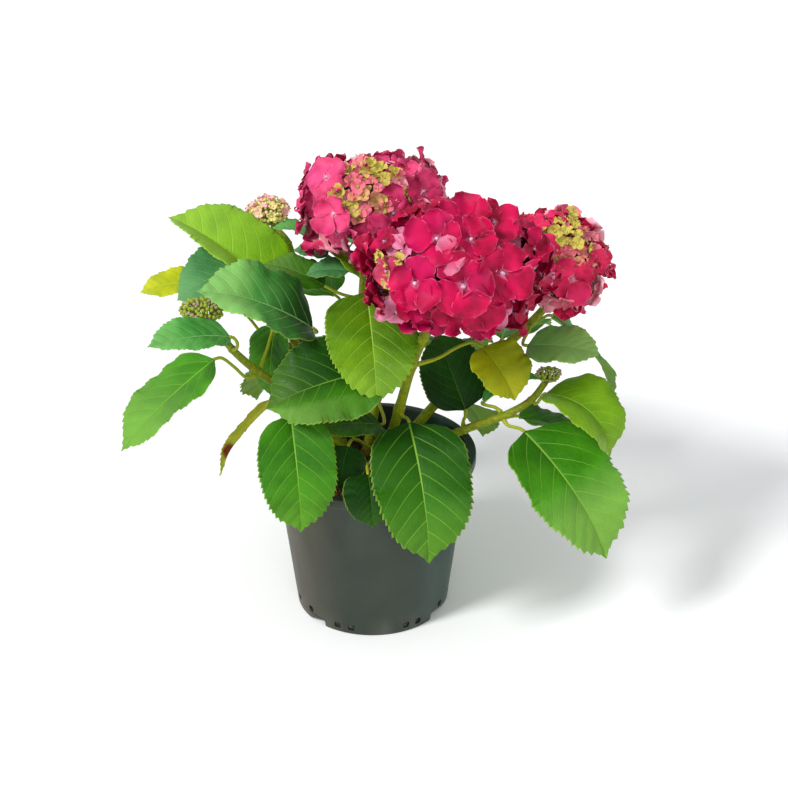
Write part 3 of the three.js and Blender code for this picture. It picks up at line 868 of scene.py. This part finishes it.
# Each open head: the spacing and usual radius of its florets in mm, the share of pale ones, the
# florets that stand out as (heading, rise, radius in mm, paleness), and where its young ones are.
BLOOMS = {
    "bloom_front": {
        "slot": "bloom_crimson", "sepals": "crimson", "seed": 11, "spacing": 20, "radius": 20, "pale": 0.14,
        "main": [(-90, 8, 29, 0.25), (-127, 7, 24, 0.35), (-54, 14, 27, 0.25), (-73, -14, 22, 0.35),
                 (-118, 43, 24, 0.4), (-81, 46, 23, 0.35), (-75, 71, 23, 0.3), (-36, 57, 22, 0.4),
                 (-104, 30, 16, 0.75), (-149, 10, 15, 0.6)],
        "young_heading": (-149, 14), "young_reach": 12,
    },
    "bloom_back": {
        "slot": "bloom_pink", "sepals": "pink", "seed": 5, "spacing": 18, "radius": 17, "pale": 0.42,
        "main": [(-70, 5, 24, 0.2), (-89, -13, 21, 0.15), (-139, 32, 20, 0.5), (-123, 5, 19, 0.3),
                 (-38, 19, 20, 0.2)],
        "young_heading": (-92, 30), "young_reach": 36,
    },
    "bloom_right": {
        "slot": "bloom_crimson", "sepals": "rose", "seed": 8, "spacing": 18, "radius": 17, "pale": 0.34,
        "main": [(-75, -5, 22, 0.2)],
        "young_heading": (-74, 30), "young_reach": 36,
    },
}
TOWARDS_FRONT = np.array([0, -0.9, 0.44])
STALK_SIDES = 5
# the dark core is painted shade for the inside of each head, seen between the florets
CORE_DEPTH = 19 * MM                   # of the dark core under the florets' surface
FLORET_TRIES = 9000
HEAD_CANES = {
    "bloom_front": "cane_centre", "bloom_back": "cane_back", "bloom_right": "cane_rear_right",
    "bud_top_left": "cane_rear_left", "bud_left": "cane_left", "bud_right": "cane_right",
    "bud_rear": "cane_rear",
}


def solid_surface(name):
    """The node's surface to shoot rays at, and the middle of its box."""
    points, _ = merged_points(name)
    mesh = frame["nodes"][name].data
    surface = BVHTree.FromPolygons([v.co for v in mesh.vertices], [f.vertices for f in mesh.polygons])
    middle = (points.min(axis=0) + points.max(axis=0)) / 2
    return surface, middle


def spread_on(surface, middle, wanted, gap, rng, tries, lowest, keep_off=None, off=0.0):
    """Spots on a solid's surface at least gap apart, first the wanted directions and then random ones."""
    spots = []
    chosen = []
    for i in range(len(wanted) + tries):
        if i < len(wanted):
            way = heading_rise(*wanted[i])
        else:
            way = unit(rng.normal(size=3))
        if way[2] < lowest:
            continue
        hit, normal, _, _ = surface.ray_cast(Vector(middle), Vector(way))
        if hit is None:
            continue
        spot = np.array(hit)
        if keep_off is not None and keep_off.find_nearest(hit)[3] < off:
            continue
        if i >= len(wanted) and spots and np.min(np.linalg.norm(np.array(spots) - spot, axis=1)) < gap:
            continue
        spots.append(spot)
        outward = np.array(normal)
        outward = outward if outward @ way > 0 else -outward
        chosen.append((spot, unit(0.55 * outward + 0.45 * way), i))
    return chosen


def stalks_to(ends, head, name, bend_share, lift, radius, material):
    """Thin stalks from the head's cane to the ends, a little thicker at the foot, as one piece."""
    foot = cane_line(HEAD_CANES[head])[0][-1]
    tubes = []
    for end in ends:
        bend = foot + (end - foot) * bend_share + np.array([0, 0, lift])
        line = catmull(np.array([foot, bend, end]), 2)
        tubes.append(tube(line, radius * np.linspace(1.15, 0.8, len(line)), STALK_SIDES))
    points, faces, uv = joined(tubes)
    return mesh_object(name, points, faces, [material], uv=uv)


def make_blooms(tree):
    """The three open heads: florets over their flower stalks and a dark core that is painted shade for the
    inside of the head, with younger florets near the crown.
    """
    florets = shape_collection("florets", [
        floret_shape("floret_flat", 1, 0.16, -0.12), floret_shape("floret_open", 2, 0.3, -0.05),
        floret_shape("floret_cupped", 3, 0.5, 0.12), floret_shape("floret_full", 4, 0.25, -0.2, 5),
        floret_shape("floret_curled", 5, 0.4, 0.2)])
    young = shape_collection("young_florets", [
        floret_shape("young_closed", 21, 1.0, 0.5, 4, 0.24),
        floret_shape("young_half", 22, 0.75, 0.35, 4, 0.2),
        floret_shape("young_open", 23, 0.5, 0.2, 4, 0.16)])
    sepals = {
        "crimson": sepal_material("crimson_sepals", "#860428", "#c30548", "#b4085a", "#e48fb0"),
        "pink": sepal_material("pink_sepals", "#a81448", "#da4676", "#c43a8a", "#f2b6bf"),
        "rose": sepal_material("rose_sepals", "#a60a38", "#e02a5c", "#c41e74", "#f1b4c0"),
    }
    lilac = bead_material("lilac_bead", "#d8b6cc", "#b06a94")
    unripe = young_material("young_sepals", "#c0b052", "#dc6f80")
    lime = bead_material("lime_bead", "#b7bb52", "#8c9a34")
    painted_shade_core_skin = bead_material("flower_head_core_painted_shade", "#5a0c1c", "#3d1414", 0.8)
    stalk_skin = bead_material("flower_stalk_pink", "#b0455a", "#8f7a3a", 0.5)
    front, _ = solid_surface("bloom_front")
    for name, head in BLOOMS.items():
        rng = np.random.default_rng(head["seed"])
        surface, middle = solid_surface(name)
        off = None if name == "bloom_front" else front
        main = [row[:2] for row in head["main"]]
        young_way = heading_rise(*head["young_heading"])
        found = spread_on(surface, middle, main, head["spacing"] * MM, rng, FLORET_TRIES, -0.72, off, 9 * MM)
        grown = [f for f in found if f[2] < len(main)
                 or degrees_apart(f[0] - middle, young_way) > head["young_reach"] * 0.6]
        points, aims, sizes, pale = [], [], [], []
        for spot, aim, i in grown:
            if i < len(main):
                _, _, size, paleness = head["main"][i]
                depth = 0.12 * size
                aim = unit(aim + 0.6 * TOWARDS_FRONT + rng.normal(size=3) * 0.08)
            else:
                size = head["radius"] * rng.uniform(0.72, 1.12)
                paleness = rng.uniform(0.7, 1.0) if rng.random() < head["pale"] else rng.uniform(0, 0.5)
                depth = rng.uniform(0, 11) + 0.22 * size + 9 * max(0.0, aim[2] - 0.35)
                loose = 0.36 - 0.24 * max(0.0, aim[2])
                aim = unit(aim + rng.normal(size=3) * loose + [0, 0, 0.06])
            points.append(spot - aim * depth * MM)
            aims.append(aim)
            sizes.append(size * MM)
            pale.append(paleness)
        piece = scatter(name + "_florets", tree, florets, points, aims, rng.uniform(0, 6.28, len(points)),
                        sizes, pale, sepals[head["sepals"]], lilac, head["seed"])
        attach(piece, "root")
        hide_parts(name)

        ends = list(points)
        small = [f for f in spread_on(surface, middle, [], 7.5 * MM, rng, FLORET_TRIES, -0.2, off, 6 * MM)
                 if degrees_apart(f[0] - middle, young_way) < head["young_reach"]]
        if small:
            spots = [spot - aim * rng.uniform(2, 9) * MM for spot, aim, _ in small]
            piece = scatter(name + "_young_florets", tree, young, spots,
                            [unit(aim + rng.normal(size=3) * 0.3) for _, aim, _ in small],
                            rng.uniform(0, 6.28, len(spots)), rng.uniform(3.5, 8.5, len(spots)) * MM,
                            rng.uniform(0, 1, len(spots)), unripe, lime, head["seed"] + 1)
            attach(piece, "root")
            ends += spots

        piece = stalks_to(ends, name, name + "_flower_stalks", 0.45, 4 * MM, 0.9 * MM, stalk_skin)
        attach(piece, "root")

        # a dark shell just under the florets: painted shade for the inside of the head
        raw, faces = ball(1.0, np.zeros(3), 28, 16)
        shell = []
        for p in raw:
            hit = surface.ray_cast(Vector(middle), Vector(unit(p)))[0]
            reach = np.linalg.norm(np.array(hit) - middle)
            uneven = 1 + 0.07 * math.sin(40 * p[0]) * math.sin(33 * p[2])
            shell.append(middle + unit(p) * (reach - CORE_DEPTH) * uneven)
        piece = mesh_object(name + "_core", shell, faces, [painted_shade_core_skin])
        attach(piece, "root")
    remove_shapes(florets)
    remove_shapes(young)


def bead_shape(name, stretch):
    points, faces = ball(1.0, np.zeros(3), 7, 5, stretch)
    return mesh_object(name, points, faces, marks={"bead": np.zeros(len(points))})


def make_bud_heads(tree):
    """Small heads in bud: close beads on short stalks, the top left one just showing colour."""
    beads = shape_collection("beads", [bead_shape("bead_round", 1.0), bead_shape("bead_long", 1.3)])
    first_sepals = shape_collection("first_sepals", [floret_shape("first_sepal", 31, 0.9, 0.4, 4, 0.3)])
    rosy = young_material("rosy_buds", "#d6d874", "#eeb4b4")
    green = young_material("green_buds", "#8d9a34", "#a58a86")
    stalk_skin = bead_material("bud_stalk_green", "#8f9a38", "#7a7a3a", 0.5)
    for i, name in enumerate(n for n in HEAD_CANES if n.startswith("bud_")):
        rng = np.random.default_rng(50 + i)
        surface, middle = solid_surface(name)
        radius = (1.5 if name == "bud_right" else 2.0) * MM
        found = spread_on(surface, middle, [], radius * 1.75, rng, 7000, -0.35)
        skin = rosy if name == "bud_top_left" else green
        points = [spot - aim * rng.uniform(0.4, 2.6) * MM for spot, aim, _ in found]
        piece = scatter(name + "_beads", tree, beads, points, [aim for _, aim, _ in found],
                        rng.uniform(0, 6.28, len(points)), radius * rng.uniform(0.7, 1.15, len(points)),
                        rng.uniform(0, 0.75, len(points)), skin, skin, 60 + i)
        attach(piece, "root")
        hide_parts(name)
        flat_bend = np.array([0.55, 0.55, 0.35])
        piece = stalks_to(points[::2], name, name + "_stalks", flat_bend, 0, 0.7 * MM, stalk_skin)
        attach(piece, "root")
        if name == "bud_top_left":
            found = spread_on(surface, middle, [], 7 * MM, rng, 600, -0.1)
            piece = scatter(name + "_first_sepals", tree, first_sepals, [s for s, _, _ in found],
                            [a for _, a, _ in found], rng.uniform(0, 6.28, len(found)),
                            rng.uniform(3.0, 5.4, len(found)) * MM, rng.uniform(0.4, 1, len(found)),
                            rosy, rosy, 70)
            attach(piece, "root")
    remove_shapes(beads)
    remove_shapes(first_sepals)


# ---- potting mix ----
SOIL_SINK = 3 * MM                     # by which the fill is lower at the wall than in the middle
CHIPS = 420


def potting_material():
    material, tree = new_material("potting_mix", 0.95, 0.15)
    grain = noise(tree, 420.0, 6.0, object_place(tree), 0.65)
    base = mixed(tree, stepped(tree, grain, 0.35, 0.7), "#1b100a", "#4a3322")
    return finish_surface(material, base, grain, 0.9, 0.002)


def make_potting_mix(tree):
    """The fill with its crumbly top, in place of the soil solid, and bark chips on it."""
    low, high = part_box("potting_soil")
    reach = (high.x - low.x) / 2
    rng = np.random.default_rng(3)
    turns = 96
    profile = [(r * reach, high.z - SOIL_SINK * smooth(r, 0.7, 1)) for r in np.linspace(0.03, 1, 34)]
    wall_top = high.z - SOIL_SINK
    profile += [(reach * (1 - 0.16 * d), wall_top - d * (high.z - low.z - SOIL_SINK))
                for d in (0.3, 0.65, 1.0)]
    angles = np.linspace(0, 2 * math.pi, turns, endpoint=False)
    lumps = rng.uniform(0, 2 * math.pi, (9, 3))
    points = []
    for i, (r, z) in enumerate(profile):
        x = r * np.cos(angles)
        y = r * np.sin(angles)
        rough = sum(np.sin(x * 1000 / (2.2 + j) + a) * np.sin(y * 1000 / (2.6 + j) + b)
                    for j, (a, b, _) in enumerate(lumps)) * 0.28 * MM
        points.append(np.column_stack([x, y, z + rough * (i < 33)]))
    faces = [list(range(turns))]
    faces += [[a, d, c, b] for a, b, c, d in ring_faces(len(profile), turns)]
    faces.append(list(range((len(profile) - 1) * turns, len(profile) * turns))[::-1])
    piece = mesh_object("potting_mix", np.vstack(points), faces, [potting_material()])
    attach(piece, "root")
    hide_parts("potting_soil")

    chips = shape_collection("chips", [bark_chip("chip_%d" % i, i) for i in range(4)])
    bark = young_material("bark_chips", "#3a2416", "#7a5434")
    spots = []
    for _ in range(CHIPS):
        r = reach * 0.97 * math.sqrt(rng.random())
        a = rng.uniform(0, 2 * math.pi)
        z = high.z - SOIL_SINK * float(smooth(r / reach, 0.7, 1)) + 0.3 * MM
        spots.append([r * math.cos(a), r * math.sin(a), z])
    aims = unit(rng.normal(size=(len(spots), 3)) * 0.35 + [0, 0, 1])
    piece = scatter("potting_mix_chips", tree, chips, spots, aims, rng.uniform(0, 6.28, len(spots)),
                    rng.uniform(1.2, 4.2, len(spots)) * MM, rng.uniform(0, 1, len(spots)), bark, bark, 4)
    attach(piece, "root")
    remove_shapes(chips)


def bark_chip(name, seed):
    """An uneven flat chip, about two long by one wide."""
    rng = np.random.default_rng(seed)
    points, faces = ball(1.0, np.zeros(3), 7, 4)
    blocky = np.sign(points) * np.abs(points) ** 0.7
    points = blocky * [1.2, 0.6, 0.28] * rng.uniform(0.75, 1.25, points.shape)
    return mesh_object(name, points, faces, marks={"bead": np.zeros(len(points))}, smooth=False)


# ---- pot ----
POT_SIDES = 160
POT_HEIGHT = 161
RIM_RADIUS = 98.5
RIM_BAND = 11
WALL = 2.2
TOP_RADIUS = 92.5
BASE_RADIUS = 73.5
FOOT_HEIGHT = 8.5
HUB_RADIUS = 48
FOOT_TURN = 6                          # degrees by which the feet are turned from the front
FOOT_HALF_ANGLE = 43
HOLES_IN_FEET = [-32, -21, 20, 30]
HOLES_IN_SIDES = [-75, -57, 54, 73]
HOLE_SIZE = 6.5


WALL_STEP = 9                          # mm between two rings of faces
HOLE_CORNERS = 16
SQUARENESS = 0.55                      # power that turns the round outline of a hole nearly square


def rounded(corner, before, after, radius, steps=4):
    """Points that round off a corner of a profile."""
    corner = np.array(corner, float)
    start = corner + unit(np.array(before) - corner) * radius
    end = corner + unit(np.array(after) - corner) * radius
    t = np.linspace(0, 1, steps + 1)[:, None]
    return ((1 - t) ** 2 * start + 2 * t * (1 - t) * corner + t ** 2 * end).tolist()


def pot_profile():
    """The pot's section as (radius, height) in mm, from the middle of its foot round to its inside."""
    def wall_radius(z):
        return BASE_RADIUS + (TOP_RADIUS - BASE_RADIUS) * z / POT_HEIGHT
    band_foot = POT_HEIGHT - RIM_BAND
    inside_floor = FOOT_HEIGHT + 2.5
    corners = [
        (0, 0, 0), (HUB_RADIUS, 0, 2), (HUB_RADIUS + 6, FOOT_HEIGHT, 2),
        (BASE_RADIUS - WALL, FOOT_HEIGHT, 0.4), (BASE_RADIUS - WALL, 0, 0.5), (BASE_RADIUS, 0, 1.4),
        (wall_radius(band_foot), band_foot, 1.2),
        (RIM_RADIUS, band_foot + 1.5, 1.4), (RIM_RADIUS, POT_HEIGHT, 1.6),
        (wall_radius(POT_HEIGHT) - WALL, POT_HEIGHT, 1.0),
        (wall_radius(inside_floor) - WALL, inside_floor, 1.5),
        (HUB_RADIUS + 4, inside_floor, 2), (HUB_RADIUS - 2, 2.5, 2), (0, 2.5, 0),
    ]
    profile = []
    for i, (r, z, radius) in enumerate(corners):
        if radius == 0:
            profile.append([r, z])
        else:
            profile += rounded((r, z), corners[i - 1][:2], corners[i + 1][:2], radius)
    # the long wall takes rings between, so that its faces stay near square
    dense = []
    for a, b in zip(profile, profile[1:]):
        count = max(1, int(math.dist(a, b) / WALL_STEP))
        dense += [[a[k] + (b[k] - a[k]) * j / count for k in (0, 1)] for j in range(count)]
    return dense + [profile[-1]]


def wall_cutter(angles, heights):
    """A prism through the skirt: its outline is given in degrees round the pot and millimetres up."""
    ring = []
    for radius in (BASE_RADIUS - WALL - 5, BASE_RADIUS + 6):
        for angle, z in zip(angles, heights):
            turn = math.radians(angle - 90)
            ring.append((radius * math.cos(turn) * MM, radius * math.sin(turn) * MM, z * MM))
    n = len(angles)
    faces = [list(range(n)), list(range(n, 2 * n))[::-1]]
    faces += [[k, k + n, (k + 1) % n + n, (k + 1) % n] for k in range(n)]
    return ring, faces


def cutter_outlines():
    """Outlines of the raised stretches between the feet and of the drain holes."""
    outlines = []
    degrees_per_mm = 180 / math.pi / BASE_RADIUS
    for face in (90, -90):
        half = 90 - FOOT_HALF_ANGLE
        corner = rounded((half, FOOT_HEIGHT), (half, FOOT_HEIGHT - 3), (half - 3, FOOT_HEIGHT), 2.6, 5)
        edge = [(half, -1)] + corner
        steps = np.linspace(half - 3, 3 - half, 30)[1:-1]
        outline = edge + [(s, FOOT_HEIGHT) for s in steps] + [(-a, z) for a, z in edge[::-1]]
        outline += [(s, -1) for s in np.linspace(-half, half, 32)[1:-1]]
        outlines.append([(a + face + FOOT_TURN, z) for a, z in outline])
    across = HOLE_SIZE * degrees_per_mm / 2

    def squared(part):
        return math.copysign(abs(part) ** SQUARENESS, part)

    for face in (0, 180):
        for angles, low in ((HOLES_IN_FEET, FOOT_HEIGHT - 4), (HOLES_IN_SIDES, FOOT_HEIGHT + 1)):
            middle = low + HOLE_SIZE / 2
            for angle in angles:
                turns = [2 * math.pi * k / HOLE_CORNERS for k in range(HOLE_CORNERS)]
                outlines.append([(face + FOOT_TURN + angle + across * squared(math.cos(turn)),
                                  middle + HOLE_SIZE / 2 * squared(math.sin(turn))) for turn in turns])
    return outlines


def pot_material():
    material, tree = new_material("pot_plastic", 0.4, 0.3)
    place = object_place(tree)
    split = parts_of(tree, place)
    cloud = noise(tree, 14.0, 5.0, place)
    streaks = noise(tree, 30.0, 4.0, stretched(tree, place, (1, 1, 0.12)))
    base = mixed(tree, stepped(tree, cloud, 0.3, 0.7), "#252e26", "#303a30")
    # painted reflection: a brown cast on the pot's left side and a teal cast on its right side
    painted_warm_reflection = stepped(tree, split[0], -0.09, -0.01, 1.0, 0.0)
    base = mixed(tree, times(tree, painted_warm_reflection, 0.62), base, "#40311e")
    cool = stepped(tree, split[0], 0.02, 0.09, 0.0, 0.5)
    base = mixed(tree, cool, base, "#264a46")
    dust = times(tree, stepped(tree, split[2], 0.0, 0.03, 0.4, 0.0), stepped(tree, streaks, 0.4, 0.7))
    base = mixed(tree, dust, base, "#6d6a5e")
    rough = stepped(tree, streaks, 0.3, 0.7, 0.34, 0.5)
    tree.links.new(rough, shader_socket(material, "Roughness"))
    return finish_surface(material, base, noise(tree, 650.0, 2.0, place), 0.08, 0.0003)


def make_pot():
    profile = pot_profile()
    rings = profile[1:-1]
    points = [(0, 0, profile[0][1] * MM)]
    for r, z in rings:
        for k in range(POT_SIDES):
            turn = 2 * math.pi * k / POT_SIDES
            points.append((r * math.cos(turn) * MM, r * math.sin(turn) * MM, z * MM))
    points.append((0, 0, profile[-1][1] * MM))
    shell = mesh_object("nursery_pot", points, turned_faces(len(rings), POT_SIDES), [pot_material()])
    cut_points, cut_faces = [], []
    for outline in cutter_outlines():
        ring, sides = wall_cutter([a for a, _ in outline], [z for _, z in outline])
        cut_faces += [[i + len(cut_points) for i in side] for side in sides]
        cut_points += ring
    cutter = mesh_object("cutter", cut_points, cut_faces, smooth=False)
    for part in (shell, cutter):
        edit = bmesh.new()
        edit.from_mesh(part.data)
        bmesh.ops.recalc_face_normals(edit, faces=edit.faces)
        edit.to_mesh(part.data)
        edit.free()
    cut = shell.modifiers.new("cut", "BOOLEAN")
    cut.operation = "DIFFERENCE"
    cut.object = cutter
    cut.solver = "EXACT"
    graph = bpy.context.evaluated_depsgraph_get()
    mesh = bpy.data.meshes.new_from_object(shell.evaluated_get(graph))
    bpy.data.objects.remove(cutter)
    shell.modifiers.clear()
    shell.data = mesh
    mesh.set_sharp_from_angle(angle=math.radians(38))
    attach(shell, "root")
    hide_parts("pot")


# ---- camera, floor and light ----
CAMERA_PLACE = Vector((0.021, -1.2293, 0.832))
CAMERA_DROP = math.radians(26.5)      # how far below the horizon the camera looks
CAMERA_LENS = 67.8
FLOOR_REACH = 14.0
FLOOR_DROP = 0.2 * MM                  # the floor lies just under the pot's feet
SKY_STRENGTH = 0.7
SUN_STRENGTH = 2.6
SUN_SPREAD = math.radians(14)
SUN_WAY = Vector((1.0, 0.75, -1.1))    # the way the sunlight travels


def make_camera():
    lens = bpy.data.cameras.new("camera")
    lens.lens = CAMERA_LENS
    lens.sensor_width = 36
    camera = placed("camera", lens)
    camera.location = CAMERA_PLACE
    camera.rotation_euler = (math.pi / 2 - CAMERA_DROP, 0, 0)
    bpy.context.scene.camera = camera


def soft_light(name, place, size, power, aim):
    lamp = bpy.data.lights.new(name, "AREA")
    lamp.size = size
    lamp.energy = power
    light = placed(name, lamp)
    light.location = place
    light.rotation_euler = (Vector(aim) - Vector(place)).to_track_quat("-Z", "Y").to_euler()


def make_setting():
    size = FLOOR_REACH
    floor = mesh_object("floor", [(-size, -size, 0), (size, -size, 0), (size, size, 0), (-size, size, 0)],
                        [(0, 1, 2, 3)], smooth=False)
    floor.location.z = -FLOOR_DROP
    paper, _ = new_material("pale_floor", 0.9, 0.1)
    shader_socket(paper, "Base Color").default_value = colour("#f4f4f4")
    floor.data.materials.append(paper)
    world = bpy.data.worlds.new("studio")
    world.use_nodes = True
    sky = world.node_tree.nodes["Background"]
    sky.inputs[0].default_value = (0.96, 0.98, 1.0, 1)
    sky.inputs[1].default_value = SKY_STRENGTH
    bpy.context.scene.world = world
    sun = bpy.data.lights.new("key_light", "SUN")
    sun.energy = SUN_STRENGTH
    sun.angle = SUN_SPREAD
    key = placed("key_light", sun)
    key.rotation_euler = SUN_WAY.to_track_quat("-Z", "Y").to_euler()
    soft_light("front_light", (0.3, -2.2, 1.4), 1.2, 14, (0.0, 0, 0.25))
    bpy.context.scene.view_settings.view_transform = "Standard"


make_camera()
make_setting()
scatter_shapes = scatter_tree()
make_pot()
make_potting_mix(scatter_shapes)
make_canes()
make_leaves()
make_blooms(scatter_shapes)
make_bud_heads(scatter_shapes)
